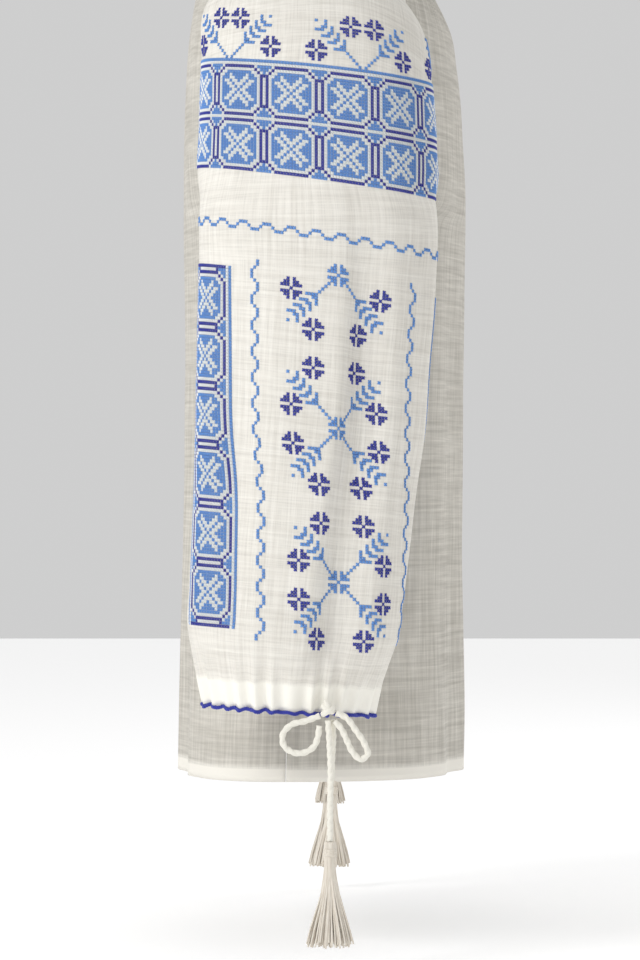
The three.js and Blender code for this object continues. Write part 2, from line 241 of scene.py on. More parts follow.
# Thread, cord and tassel fibres: fine streaks and a little unevenness of colour.
def makeThread(name, low, high, roughness, grain, stretch=(1, 1, 1)):
    material, nodes, links, shader = newMaterial(name, roughness, 0.2)
    place = nodes.new("ShaderNodeTexCoord")
    mapping = nodes.new("ShaderNodeMapping")
    mapping.inputs["Scale"].default_value = stretch
    links.new(place.outputs["Object"], mapping.inputs["Vector"])
    noise = nodes.new("ShaderNodeTexNoise")
    noise.inputs["Scale"].default_value = grain
    noise.inputs["Detail"].default_value = 3
    links.new(mapping.outputs[0], noise.inputs["Vector"])
    links.new(mixColour(nodes, links, noise.outputs["Fac"], low, high), shader.inputs["Base Color"])
    bump = nodes.new("ShaderNodeBump")
    bump.inputs["Strength"].default_value = 0.4
    bump.inputs["Distance"].default_value = 0.0003
    links.new(noise.outputs["Fac"], bump.inputs["Height"])
    links.new(bump.outputs[0], shader.inputs["Normal"])
    return material


sleeveLinen = makeLinen("sleeveLinen")
# The body panels and neck binding use the darker linen, which carries painted shade.
bodyLinen = makeLinen("bodyLinen")
threads = {
    "light_blue": makeThread("threadLightBlue", (0.085, 0.24, 0.62), (0.17, 0.37, 0.78), 0.6, 900),
    "dark_blue": makeThread("threadDarkBlue", (0.02, 0.028, 0.27), (0.05, 0.065, 0.42), 0.6, 900),
    "white": makeThread("threadWhite", (0.78, 0.80, 0.80), (0.93, 0.94, 0.93), 0.6, 900),
}
cordMaterial = makeThread("cordCotton", (0.74, 0.71, 0.62), (0.93, 0.91, 0.84), 0.8, 1400)
tasselMaterial = makeThread("tasselCotton", (0.62, 0.55, 0.46), (0.90, 0.86, 0.78), 0.85, 700, (1, 1, 0.15))
print("materials made")

# The blouse's form, in millimetres.

# width, front, back, roundness, side seam Y, seam X, heights of middle and seam in front, behind
yokeRows = np.array([
    [98, 88, 76, 2.0, 0, 66, -52, -35, 8, 2],
    [116, 100, 87, 2.0, 0, 84, -72, -60, -8, -16],
    [132, 110, 96, 2.05, 0, 103, -95, -88, -32, -40],
    [146, 114, 103, 2.15, 0, 120, -122, -117, -60, -66],
    [158, 117, 109, 2.3, 0, 136, -153, -150, -98, -102],
    [166, 119, 112, 2.45, 1, 150, -190, -188, -147, -149],
    [170, 121, 113, 2.6, 1, 162, -227, -226, -205, -206],
    [169.5, 121.5, 113, 2.6, 1.2, 166.5, -244, -243, -233, -234],
    [168, 122, 113, 2.6, 1.5, 168, -255, -255, -255, -255]])
# height, width, front, back, side seam Y
skirtRows = [(-315, 169, 121, 112, 5), (-400, 172, 120, 112, 12), (-500, 179, 119, 113, 19),
             (-600, 187, 119, 116, 24), (-660, 192, 120, 117, 26), (-700, 195, 120, 118, 27)]
bodyRows = [tuple(row) for row in yokeRows]
bodyRows += [(w, f, b, 2.6, y, w, z, z, z, z) for z, w, f, b, y in skirtRows]
# outermost X and Z, middle Y, angles to the front and back seams
capRows = [(-98, 0, 0, 48, 48), (-132, -10, 1, 66, 68), (-168, -25, 1, 84, 92),
           (-204, -48, 1, 104, 116), (-233, -78, 1, 126, 136), (-259, -124, 1.5, 134, 140),
           (-274, -180, 1.5, 144, 148.5), (-280, -222, 1.5, 156, 159)]
# height, tilt, outer X, inner X, front Y, back Y
armRows = [(-255, 0, -284, -169.2, -91, 94), (-310, 5, -290, -177, -90, 94),
           (-365, 7, -295, -182, -85, 95), (-417, 7, -300, -187, -81, 96),
           (-465, 6, -305, -192, -74, 97), (-510, 5.5, -308, -196, -69, 99),
           (-550, 5, -312, -201, -64, 101), (-580, 4.5, -314, -203, -60, 102),
           (-602, 4, -311, -205, -52, 98), (-619, 3.5, -306, -206, -45, 94),
           (-638, 3.5, -300, -206, -40, 90)]
# along the cloth from the outermost line, width of back and front slopes, top, bottom, depth
sleeveFolds = [(-34, 20, 40, -230, -630, 12), (62, 24, 30, -250, -600, 4),
               (-88, 26, 26, -180, -560, 4), (150, 34, 34, -300, -620, 6),
               (-165, 34, 34, -300, -620, 6)]
# side, across from the middle, half width, top, depth
bodyFolds = [(-1, 0, 45, -130, 5), (-1, 84, 40, -160, 6), (-1, -92, 42, -150, 6),
             (1, 22, 45, -120, 6), (1, 108, 38, -170, 5), (1, -84, 40, -140, 6)]
cloth = {"wall": 0.5, "turned": 1.3, "hemTurn": 13, "casingTop": -617, "inset": 0.4,
         "panelColumns": 150, "panelRows": 150, "sleeveColumns": 190, "sleeveRows": 182}
gathers = {"neckFront": 26, "neckSleeve": 30, "cuff": 27, "neckRise": 1.5, "cuffRise": 3.0}


def bodyPoints(row, side, x):
    width, front, back, roundness, sideY, seamX, frontZ, frontSeam, backZ, backSeam = row
    depth = front + sideY if side < 0 else back - sideY
    middle, seam = (frontZ, frontSeam) if side < 0 else (backZ, backSeam)
    rest = np.maximum(0, 1 - (np.abs(x) / width) ** roundness) ** (1 / roundness)
    return np.stack([x, sideY + side * depth * rest, middle + (seam - middle) * (x / seamX) ** 2], axis=1)


def panelLine(row, side, columns):
    x = row[5] * np.sin(np.linspace(-1, 1, 481) * math.pi / 2)
    points = bodyPoints(row, side, x)
    points = points[::-1] if side < 0 else points
    return evenSteps(points, columns, 0.15)


def arcPoints(out, endX, endZ, angle, depth, tilt):
    turn = np.linspace(0, angle, 121)
    width = (endX - out[0]) / (1 - math.cos(angle))
    x = out[0] + width * (1 - np.cos(turn))
    y = out[1] + depth * np.sin(turn)
    slope = math.tan(math.radians(tilt))
    z = out[2] + (endZ - out[2]) * (x - out[0]) / (endX - out[0]) + slope * (y - out[1])
    return np.stack([x, y, z], axis=1)


def capLine(row, bodyRow):
    outX, outZ, midY, frontAngle, backAngle = row
    arcs = []
    for side, degrees in ((-1, frontAngle), (1, backAngle)):
        end = bodyPoints(bodyRow, side, np.array([-bodyRow[5]]))[0]
        angle = math.radians(degrees)
        depth = (end[1] - midY) / math.sin(angle)
        arcs.append(arcPoints((outX, midY, outZ), end[0], end[2], angle, depth, 0))
    return np.concatenate([arcs[0][::-1], arcs[1][1:]])


def armLine(row):
    z, tilt, outX, inX, frontY, backY = row
    out = (outX, (frontY + backY) / 2, z)
    depth = (backY - frontY) / 2
    front = arcPoints(out, inX, z, math.pi, -depth, tilt)
    back = arcPoints(out, inX, z, math.pi, depth, tilt)
    return np.concatenate([front[::-1], back[1:]])


def gridNormals(grid, closedFrom):
    round_ = np.gradient(grid, axis=1)
    wrapped = (grid[:, 1] - grid[:, -2]) / 2
    round_[closedFrom:, 0] = wrapped[closedFrom:]
    round_[closedFrom:, -1] = wrapped[closedFrom:]
    down = np.gradient(grid, axis=0)
    return unit(np.cross(round_, down))


# Rows given in the tables become a fine grid of even rows.
def refine(lines, rowCount):
    rows = np.array(lines)
    steps = np.linalg.norm(np.diff(rows, axis=0), axis=2).mean(axis=1)
    places = np.concatenate([[0], np.cumsum(steps)])
    at = np.linspace(0, places[-1], rowCount + 1)
    return smoothThrough(rows, places, at), at, places


# Small soft unevenness of hung cloth: a few long waves whose crests wander.
def softWaves(around, down, seed, size):
    generator = np.random.default_rng(seed)
    total = np.zeros_like(around)
    for _ in range(9):
        pitch = generator.uniform(38, 110)
        slope = generator.uniform(-0.35, 0.35)
        phase, wander = generator.uniform(0, 2 * math.pi, 2)
        envelope = 0.5 + 0.5 * np.sin(down / generator.uniform(60, 150) + wander)
        total += envelope * np.sin(2 * math.pi * (around + slope * down) / pitch + phase)
    return size * total / 3


def sleeveSurface():
    columns = cloth["sleeveColumns"]
    lines = [evenSteps(capLine(row, bodyRows[j]), columns, 0.15) for j, row in enumerate(capRows)]
    lines += [evenSteps(armLine(row), columns) for row in armRows]
    grid, at, places = refine(lines, cloth["sleeveRows"])
    underarm = int(np.searchsorted(at, places[len(capRows)]))
    grid[underarm:, -1] = grid[underarm:, 0]
    normals = gridNormals(grid, underarm)
    along = np.concatenate([np.zeros((len(grid), 1)),
                            np.cumsum(np.linalg.norm(np.diff(grid, axis=1), axis=2), axis=1)], axis=1)
    outer = np.argmin(grid[:, :, 0], axis=1)
    around = along - along[np.arange(len(grid)), outer][:, None]
    z = grid[:, :, 2]
    down = at[:, None] + 0 * around
    move = np.zeros(z.shape)
    for centre, steep, gentle, top, bottom, depth in sleeveFolds:
        reach = np.where(around < centre, gentle, steep)
        sway = 5 * np.sin(z / 70 + centre)
        fade = depth * smoothStep((top - z) / 160) * smoothStep((z - bottom) / 60)
        move -= fade * hump((around - centre - sway) / reach)
    move += softWaves(around, down, 4, 1.1) * smoothStep((-60 - z) / 100)
    fraction = np.linspace(0, 1, columns + 1)[None, :]
    fromEdge = at[-1] - down
    cuffGather = 0.25 * np.exp(-fromEdge / 40) + 0.75 * np.exp(-np.maximum(0, fromEdge - 18) / 14)
    wobble = 0.35 * np.sin(2 * math.pi * fraction * 5) + 0.25 * np.sin(2 * math.pi * fraction * 11 + 1)
    ripple = np.sin(2 * math.pi * (fraction * gathers["cuff"] + 0.25 * wobble))
    uneven = 0.75 + 0.35 * np.sin(2 * math.pi * fraction * 7 + 2)
    move += gathers["cuffRise"] * cuffGather * ripple * uneven
    neckRipple = np.sin(2 * math.pi * (fraction * gathers["neckSleeve"] + 0.2 * wobble))
    move += gathers["neckRise"] * np.exp(-down / 26) * neckRipple
    edge = np.minimum(fraction, 1 - fraction) * columns
    fade = np.where(down < places[len(capRows)] + 20, smoothStep(edge / 8), 1)
    grid = grid + normals * (move * fade)[..., None] * 1.0
    grid[underarm:, -1] = grid[underarm:, 0]
    return grid, underarm, at


def panelSurface(side):
    columns = cloth["panelColumns"]
    grid, at, places = refine([panelLine(row, side, columns) for row in bodyRows], cloth["panelRows"])
    normals = gridNormals(grid, len(grid) + 1)
    z, x = grid[:, :, 2], grid[:, :, 0]
    fraction = np.linspace(0, 1, columns + 1)[None, :]
    down = at[:, None] + 0 * x
    move = np.zeros(z.shape)
    for foldSide, across, half, top, depth in bodyFolds:
        if foldSide == side:
            move -= depth * smoothStep((top - z) / 200) * hump((x - across - 6 * np.sin(z / 90)) / half)
    move += softWaves(x, down, 11 + side, 1.3) * smoothStep((-90 - z) / 120)
    wobble = 0.3 * np.sin(2 * math.pi * fraction * 4 + side)
    ripple = np.sin(2 * math.pi * (fraction * gathers["neckFront"] + wobble))
    move += gathers["neckRise"] * np.exp(-down / 30) * ripple
    edge = np.minimum(fraction, 1 - fraction) * columns
    return grid + normals * (move * smoothStep(edge / 10))[..., None], len(grid) + 1, at


# A closed thin shell of cloth with its own map in metres and a mask of its doubled layers.
def clothShell(name, grid, closedFrom, doubled, material, mirrored=False):
    if mirrored:
        grid = (grid * np.array([-1, 1, 1]))[:, ::-1]
        doubled = doubled[:, ::-1]
    rows, columns = grid.shape[0], grid.shape[1] - 1
    normals = gridNormals(grid, closedFrom)
    wall = cloth["wall"] + (cloth["turned"] - cloth["wall"]) * doubled
    outer = grid - normals * cloth["inset"]
    inner = outer - normals * wall[..., None]
    index = np.full((2, rows, columns + 1), -1)
    corners, layers, total = [], [], 0
    for layer, points in enumerate((outer, inner)):
        for j in range(rows):
            count = columns if j >= closedFrom else columns + 1
            index[layer, j] = [total + i % count for i in range(columns + 1)]
            corners.append(points[j, :count])
            layers.append(doubled[j, :count])
            total += count
    faces, uvs = [], []
    acrossMap = np.linspace(0, 1, columns + 1) * 0.5
    drops = np.linalg.norm(np.diff(grid[:, columns // 2], axis=0), axis=1)
    downMap = np.concatenate([[0], np.cumsum(drops)]) * mm

    def addFace(parts):
        faces.append([int(index[part]) for part in parts])
        uvs.extend([(acrossMap[part[2]], downMap[part[1]]) for part in parts])

    for j in range(rows - 1):
        for i in range(columns):
            quad = [(0, j, i), (0, j, i + 1), (0, j + 1, i + 1), (0, j + 1, i)]
            addFace(quad)
            addFace([(1, b, c) for _, b, c in quad[::-1]])
        if j < closedFrom:
            addFace([(0, j, 0), (0, j + 1, 0), (1, j + 1, 0), (1, j, 0)])
            addFace([(0, j, columns), (1, j, columns), (1, j + 1, columns), (0, j + 1, columns)])
    for i in range(columns):
        addFace([(0, 0, i), (1, 0, i), (1, 0, i + 1), (0, 0, i + 1)])
        addFace([(0, rows - 1, i), (0, rows - 1, i + 1), (1, rows - 1, i + 1), (1, rows - 1, i)])
    piece = addMesh(name, np.concatenate(corners) * mm, faces, material)
    uvLayer = piece.data.uv_layers.new(name="cloth")
    uvLayer.data.foreach_set("uv", np.array(uvs).ravel())
    attribute = piece.data.attributes.new("layers", "FLOAT", "POINT")
    attribute.data.foreach_set("value", np.concatenate(layers))
    return piece


sleeve, underarmRow, sleeveAt = sleeveSurface()
sleeveDoubled = smoothStep((cloth["casingTop"] + 1 - sleeve[:, :, 2] + 0.06 * (sleeve[:, :, 1] - 25)) / 2)
shells = {
    "sleeve_right": clothShell("linen_sleeve_right", sleeve, underarmRow, sleeveDoubled, sleeveLinen),
    "sleeve_left": clothShell("linen_sleeve_left", sleeve, underarmRow, sleeveDoubled, sleeveLinen,
                              mirrored=True),
}
for node, side in (("front", -1), ("back", 1)):
    grid, closedFrom, at = panelSurface(side)
    hemMask = smoothStep((-700 + cloth["hemTurn"] - grid[:, :, 2] + 1) / 2)
    # The front and back panels use the linen that is painted darker with shade.
    shells[node] = clothShell("linen_" + node, grid, closedFrom, hemMask, bodyLinen)
print("cloth made")


# Neck binding.

def neckBinding():
    size = {"height": 9, "thick": 3.0, "lean": 0.8, "clear": 1.9, "sides": 10}
    row = bodyRows[0]
    x = np.linspace(row[5], -row[5], 60, endpoint=False)
    front = bodyPoints(row, -1, x)
    shoulder = evenSteps(capLine(capRows[0], row), 44)
    back = bodyPoints(row, 1, -x)
    mirror = (shoulder * np.array([-1, 1, 1]))[::-1]
    ring = np.concatenate([front, shoulder[:-1], back, mirror[:-1]])
    inward = unit(-ring * np.array([1, 1, 0]))
    upward = unit(inward + np.array([0, 0, size["lean"]]))
    across = unit(np.cross(upward, np.cross(inward, upward)))
    rings = []
    for k in range(size["sides"]):
        turn = 2 * math.pi * k / size["sides"]
        rise = size["clear"] + size["height"] * (0.5 + 0.5 * math.sin(turn))
        rings.append(ring + upward * rise + across * (size["thick"] / 2 * math.cos(turn)))
    points = np.concatenate(rings)
    count = len(ring)
    faces = []
    for k in range(size["sides"]):
        after = (k + 1) % size["sides"]
        for i in range(count):
            n = (i + 1) % count
            faces.append([k * count + i, after * count + i, after * count + n, k * count + n])
    # The binding uses the body's linen, which is painted darker with shade.
    piece = addMesh("linen_neck_binding", points * mm, faces, bodyLinen)
    uvLayer = piece.data.uv_layers.new(name="cloth")
    acrossStep, downStep = 0.003, 0.0025
    uvLayer.data.foreach_set("uv", [
        v for face in faces for c in face for v in ((c % count) * acrossStep, (c // count) * downStep)])
    return piece


binding = neckBinding()


# Geometry Nodes: threads along lines, and stitches on points.

def geometryTree(name, inputs):
    tree = bpy.data.node_groups.new(name, "GeometryNodeTree")
    tree.interface.new_socket("Geometry", in_out="INPUT", socket_type="NodeSocketGeometry")
    for label, kind in inputs:
        tree.interface.new_socket(label, in_out="INPUT", socket_type=kind)
    tree.interface.new_socket("Geometry", in_out="OUTPUT", socket_type="NodeSocketGeometry")
    return tree, tree.nodes.new("NodeGroupInput"), tree.nodes.new("NodeGroupOutput")


def endTree(tree, given, out, geometry):
    realize = tree.nodes.new("GeometryNodeRealizeInstances")
    dress = tree.nodes.new("GeometryNodeSetMaterial")
    tree.links.new(geometry, realize.inputs[0])
    tree.links.new(realize.outputs[0], dress.inputs["Geometry"])
    tree.links.new(given.outputs["Material"], dress.inputs["Material"])
    tree.links.new(dress.outputs[0], out.inputs[0])
    return tree


def makeThreadTree():
    tree, given, out = geometryTree("threadAlongLine", [
        ("Thread radius", "NodeSocketFloat"), ("Sides", "NodeSocketInt"), ("Material", "NodeSocketMaterial")])
    nodes, links = tree.nodes, tree.links
    toCurve = nodes.new("GeometryNodeMeshToCurve")
    profile = nodes.new("GeometryNodeCurvePrimitiveCircle")
    sweep = nodes.new("GeometryNodeCurveToMesh")
    sweep.inputs["Fill Caps"].default_value = True
    links.new(given.outputs["Geometry"], toCurve.inputs[0])
    links.new(given.outputs["Sides"], profile.inputs["Resolution"])
    links.new(given.outputs["Thread radius"], profile.inputs["Radius"])
    links.new(toCurve.outputs[0], sweep.inputs["Curve"])
    links.new(profile.outputs[0], sweep.inputs["Profile Curve"])
    return endTree(tree, given, out, sweep.outputs[0])


def makeStitchTree():
    tree, given, out = geometryTree("stitchOnPoint", [
        ("Stitch", "NodeSocketObject"), ("Stitch size", "NodeSocketFloat"),
        ("Material", "NodeSocketMaterial")])
    nodes, links = tree.nodes, tree.links
    shape = nodes.new("GeometryNodeObjectInfo")
    place = nodes.new("GeometryNodeInstanceOnPoints")
    turn = nodes.new("FunctionNodeAxesToRotation")
    turn.primary_axis = "Z"
    turn.secondary_axis = "X"
    for label, socket in (("stitchOut", turn.inputs[0]), ("stitchAcross", turn.inputs[1])):
        read = nodes.new("GeometryNodeInputNamedAttribute")
        read.data_type = "FLOAT_VECTOR"
        read.inputs["Name"].default_value = label
        links.new(read.outputs["Attribute"], socket)
    links.new(given.outputs["Stitch"], shape.inputs["Object"])
    links.new(given.outputs["Geometry"], place.inputs["Points"])
    links.new(shape.outputs["Geometry"], place.inputs["Instance"])
    links.new(turn.outputs[0], place.inputs["Rotation"])
    links.new(given.outputs["Stitch size"], place.inputs["Scale"])
    return endTree(tree, given, out, place.outputs[0])


threadTree = makeThreadTree()
stitchTree = makeStitchTree()


def applyTree(piece, tree, values):
    modifier = piece.modifiers.new(tree.name, "NODES")
    modifier.node_group = tree
    for item in tree.interface.items_tree:
        if item.in_out == "INPUT" and item.name in values:
            modifier[item.identifier] = values[item.name]
    bpy.context.view_layer.update()
    evaluated = piece.evaluated_get(bpy.context.evaluated_depsgraph_get())
    mesh = bpy.data.meshes.new_from_object(evaluated)
    piece.modifiers.clear()
    piece.data = mesh
    mesh.name = piece.name
    return piece


# Threads laid along many lines at once, as one piece.
def threadPiece(name, lines, radius, sides, material):
    corners, edges = [], []
    for line in lines:
        start = len(corners)
        corners.extend([tuple(p) for p in line])
        edges.extend([(start + i, start + i + 1) for i in range(len(line) - 1)])
    mesh = bpy.data.meshes.new(name)
    mesh.from_pydata(corners, edges, [])
    piece = bpy.data.objects.new(name, mesh)
    bpy.context.scene.collection.objects.link(piece)
    applyTree(piece, threadTree, {"Thread radius": radius, "Sides": sides, "Material": material})
    piece.data.polygons.foreach_set("use_smooth", [True] * len(piece.data.polygons))
    return piece


# Cross stitch charts: column 0 is the sleeve's axis, columns grow to the front,
# row 0 is the band's top line, and rows grow down. Each chart cell is one stitch.

chart = {}


def put(column, row, colour, keep=False):
    if not (keep and (column, row) in chart):
        chart[(column, row)] = colour


def octagonBlock(column, row):
    for x in range(-8, 9):
        for y in range(-8, 9):
            a, b = abs(x), abs(y)
            longer, both = max(a, b), a + b
            if both == 13 or (longer == 8 and both <= 13):
                colour = "dark_blue"
            elif both >= 14:
                colour = "white" if both == 14 else "light_blue"
            elif longer == 7 or both in (11, 12):
                colour = "white"
            elif 1 <= abs(a - b) <= 2 and longer <= 5 and min(a, b) <= 3:
                colour = "white"
            else:
                colour = "light_blue"
            put(column + x, row + y, colour)


def jointColour(step):
    return "white" if step <= 4 else "dark_blue" if step == 5 else "light_blue"


def flower(column, row, colour):
    put(column, row, colour)
    for a in (1, 2, 3):
        for b in (1, 2, 3):
            if a + b <= 4:
                for sx in (-1, 1):
                    for sy in (-1, 1):
                        put(column + sx * a, row + sy * b, colour)


# A stem that ends in a fern leaf, growing from (column, row) along the diagonal (sx, sy).
def fern(column, row, sx, sy, stem, corners, arm, tip):
    for step in range(stem[0], stem[1] + 1):
        put(column + sx * step, row + sy * step, "light_blue")
    for corner in corners:
        put(column + sx * corner, row + sy * corner, "light_blue")
        for step in range(1, arm):
            put(column + sx * (corner - 1), row + sy * (corner - 1 + step), "light_blue")
            put(column + sx * (corner - 1 + step), row + sy * (corner - 1), "light_blue")
    put(column + sx * tip, row + sy * tip, "light_blue")


def chartSleeve():
    half = 90
    period = [0, 0, 0, 1, 2, 2, 2, 1]
    for column in range(-half, half + 1):
        put(column, 0, "light_blue")
        put(column, 1, "white")
        put(column, 19, "white")
    for centre in range(3 - 18 * 5, half, 18):
        for row in (10, 28):
            octagonBlock(centre, row)
            for step in range(-8, 9):
                put(centre + 9, row + step, jointColour(abs(step)))
    for column in range(-half, half + 1):
        put(column, 53 + period[column % 8], "light_blue")
    for root in range(8 - 90, half, 45):
        for sx in (-1, 1):
            fern(root, 0, sx, -1, (1, 6), (7, 9, 11, 13), 4, 15)
            flower(root + sx * 15, -5, "dark_blue")
            flower(root + sx * 4, -14, "dark_blue")
    for side in (-1, 1):
        for row in range(65, 182):
            put(side * 27 + side * (period[row % 8] - 1), row, "light_blue")
        centre = 51 if side > 0 else -46
        for row in range(68, 179):
            for step in (-9, 9):
                put(centre + step, row, "white")
            for step in (-10, 10):
                put(centre + step, row, "light_blue")
        for row in range(78, 169, 18):
            octagonBlock(centre, row)
        for row in range(69, 178, 18):
            for step in range(-8, 9):
                put(centre + step, row, jointColour(abs(step)))
        for row in (68, 178):
            for step in range(-8, 9):
                put(centre + step, row, "dark_blue")
    for knot, ways in ((66, (1,)), (114, (-1, 1)), (162, (-1, 1))):
        flower(0, knot, "light_blue")
        for sy in ways:
            for sx in (-1, 1):
                fern(0, knot, sx, sy, (3, 7), (8, 10, 12, 14), 4, 16)
                flower(sx * 15, knot + sy * 6, "dark_blue")
                flower(sx * 8, knot + sy * 18, "dark_blue")


chartSleeve()
stitch = {"pitch": 2.43, "bandTopZ": -147, "axisY": -14, "lift": 0.15, "thick": 1.25, "rise": 0.5}


# One cross stitch: two low ridges of thread, one over the other.
def stitchShape():
    corners, faces = [], []
    long, wide = stitch["pitch"] * 0.62, stitch["thick"] / 2
    foot, ridge = -0.2, 0.72
    for turn, base in ((45, 0.0), (-45, 0.18)):
        c, s = math.cos(math.radians(turn)), math.sin(math.radians(turn))
        start = len(corners)
        for u, v, w in ((-1, -1, foot), (1, -1, foot), (1, 1, foot), (-1, 1, foot),
                        (-ridge, 0, 1), (ridge, 0, 1)):
            x, y = u * long, v * wide
            corners.append(((c * x - s * y) * mm, (s * x + c * y) * mm, (base + w * stitch["rise"]) * mm))
        wedge = ((0, 1, 5, 4), (2, 3, 4, 5), (1, 2, 5), (3, 0, 4), (3, 2, 1, 0))
        faces += [[start + k for k in face] for face in wedge]
    return addMesh("stitchShape", corners, faces)


# Where each stitch lies: rows are tilted level lines of the sleeve, columns follow the cloth.
def stitchPlaces():
    smooth = sleeve - gridNormals(sleeve, underarmRow) * cloth["inset"]
    normals = gridNormals(smooth, underarmRow)
    rows, columns = smooth.shape[:2]
    rowIndex = np.arange(rows)
    tiltAt = ([-60, 0, 40, 60, 120, 182], [6.0, 6.0, 8.0, 8.5, 6.0, 3.5])
    places = {}
    byRow = {}
    for column, row in chart:
        byRow.setdefault(row, []).append(column)
    for row, wanted in byRow.items():
        slope = math.tan(math.radians(np.interp(row, *tiltAt)))
        level = stitch["bandTopZ"] - row * stitch["pitch"]
        height = smooth[:, :, 2] - slope * (smooth[:, :, 1] - stitch["axisY"])
        at = np.array([np.interp(-level, -height[:, i], rowIndex) for i in range(columns)])
        low = np.clip(at.astype(int), 0, rows - 2)
        part = (at - low)[:, None]
        pick = np.arange(columns)
        line = smooth[low, pick] * (1 - part) + smooth[low + 1, pick] * part
        out = unit(normals[low, pick] * (1 - part) + normals[low + 1, pick] * part)
        reach = np.concatenate([[0], np.cumsum(np.linalg.norm(np.diff(line, axis=0), axis=1))])
        outer = int(np.argmin(line[:, 0]))
        near = slice(max(outer - 40, 0), min(outer + 40, columns))
        zero = np.interp(stitch["axisY"], line[near, 1], reach[near])
        goals = np.array([zero - column * stitch["pitch"] for column in wanted])
        inside = (goals > 3) & (goals < reach[-1] - 3)
        point = np.stack([np.interp(goals, reach, line[:, k]) for k in range(3)], axis=1)
        facing = unit(np.stack([np.interp(goals, reach, out[:, k]) for k in range(3)], axis=1))
        ahead = np.stack([np.interp(goals + 1, reach, line[:, k]) for k in range(3)], axis=1)
        for k, column in enumerate(wanted):
            if inside[k]:
                places[(column, row)] = (point[k], facing[k], unit(ahead[k] - point[k]))
    return places


places = stitchPlaces()
shape = stitchShape()


def stitchPiece(name, colour, mirror):
    flip = np.array([-1, 1, 1]) if mirror else np.ones(3)
    cells = [places[cell] for cell, tone in chart.items() if tone == colour and cell in places]
    points = np.array([p + n * stitch["lift"] for p, n, _ in cells]) * flip * mm
    mesh = bpy.data.meshes.new(name)
    mesh.from_pydata([tuple(p) for p in points], [], [])
    for label, k in (("stitchOut", 1), ("stitchAcross", 2)):
        attribute = mesh.attributes.new(label, "FLOAT_VECTOR", "POINT")
        attribute.data.foreach_set("vector", (np.array([cell[k] for cell in cells]) * flip).ravel())
    piece = bpy.data.objects.new(name, mesh)
    bpy.context.scene.collection.objects.link(piece)
    return applyTree(piece, stitchTree, {"Stitch": shape, "Stitch size": 1.0, "Material": threads[colour]})


stitches = {}
for hand in ("right", "left"):
    for colour in threads:
        name = f"cross_stitch_{colour}_{hand}"
        stitches[name] = stitchPiece(name, colour, hand == "left")
        print(name, len(stitches[name].data.polygons))
bpy.data.objects.remove(shape)
print("stitches made", len(chart), len(places))


# Worked edging on the cuff.

def edgingPiece(hand):
    size = {"radius": 0.85, "drop": 1.6, "scallop": 0.8, "pitch": 3.4, "inside": 0.7}
    steps = 900
    edge = sleeve[-1, :-1]
    out = gridNormals(sleeve, underarmRow)[-1, :-1]
    inner = edge - out * size["inside"]
    line = evenSteps(np.vstack([inner, inner[:1]]), steps)
    outLine = unit(np.stack([np.interp(np.linspace(0, 1, steps + 1), np.linspace(0, 1, len(out) + 1),
                                       np.append(out[:, k], out[0, k])) for k in range(3)], axis=1))
    reach = np.linspace(0, 1, steps + 1) * steps * np.linalg.norm(line[1] - line[0])
    turns = 2 * math.pi * np.round(reach[-1] / size["pitch"]) * np.linspace(0, 1, steps + 1)
    strands = []
    for phase in (0, math.pi):
        strand = line + outLine * (size["scallop"] * np.cos(turns + phase))[:, None]
        strand[:, 2] += -size["drop"] + size["scallop"] * np.sin(turns + phase) + 0.5 * np.sin(turns / 3.3)
        if hand == "left":
            strand = strand * np.array([-1, 1, 1])
        strands.append(strand * mm)
    return threadPiece(f"worked_edging_{hand}", strands, size["radius"] * mm, 7, threads["dark_blue"])


edgings = {hand: edgingPiece(hand) for hand in ("right", "left")}


# Drawstring: knot, loops, ends and tassels.

bowX = -311
leftLoop = [[0, -641], [11, -645], [22, -648], [28, -655], [27.5, -663], [21, -668.5],
            [11, -668.5], [4.5, -664], [1.4, -656], [0.6, -648.5]]
rightLoop = [[-12, -639], [-19, -642], [-27, -652], [-34, -663], [-36, -670], [-31, -674],
             [-25, -669], [-20, -659], [-15.5, -650], [-11, -645]]
frontEnd = [[0, -6, -644.5], [0, -7, -659], [0, -8, -680], [0, -7.7, -710], [0, -7.6, -735.8]]
backEnd = [[4, -9, -645], [9, -10, -656], [16, -9.5, -668], [19.5, -9, -680], [20, -9, -691.3]]
cordSize = {"diameter": 5.0, "sides": 16, "step": 1.0, "twist": 13.0, "waist": 0.68}


def smoothLine(points, step):
    points = np.array(points, float)
    places = np.concatenate([[0], np.cumsum(np.linalg.norm(np.diff(points, axis=0), axis=1))])
    fine = smoothThrough(points, places, np.linspace(0, places[-1], 400))
    length = np.linalg.norm(np.diff(fine, axis=0), axis=1).sum()
    return evenSteps(fine, max(6, int(length / step))), length


# Two plies twisted together: a waisted section that turns as it goes along.
def twistedCord(name, points, mirror):
    path, length = smoothLine(points, cordSize["step"])
    if mirror:
        path = path * np.array([-1, 1, 1])
    ahead = unit(np.gradient(path, axis=0))
    side = unit(np.cross(ahead, np.array([1.0, 0.02, 0.01])))
    other = np.cross(ahead, side)
    count = cordSize["sides"]
    angles = np.linspace(0, 2 * math.pi, count, endpoint=False)
    rings = []
    for k, centre in enumerate(path):
        turn = 2 * math.pi * k * cordSize["step"] / cordSize["twist"]
        ply = np.abs(np.cos(angles - turn))
        radius = cordSize["diameter"] / 2 * (cordSize["waist"] + (1 - cordSize["waist"]) * ply ** 0.7)
        rings.append(centre + side[k] * (radius * np.cos(angles))[:, None]
                     + other[k] * (radius * np.sin(angles))[:, None])
    corners = np.concatenate(rings + [path[:1], path[-1:]])
    faces = []
    for k in range(len(path) - 1):
        for i in range(count):
            n = (i + 1) % count
            faces.append([k * count + i, k * count + n, (k + 1) * count + n, (k + 1) * count + i])
    first, last, base = len(corners) - 2, len(corners) - 1, (len(path) - 1) * count
    faces += [[first, (i + 1) % count, i] for i in range(count)]
    faces += [[last, base + i, base + (i + 1) % count] for i in range(count)]
    piece = addMesh(name, corners * mm, faces, cordMaterial)
    return piece, [tuple(p) for p in path * mm], length * mm


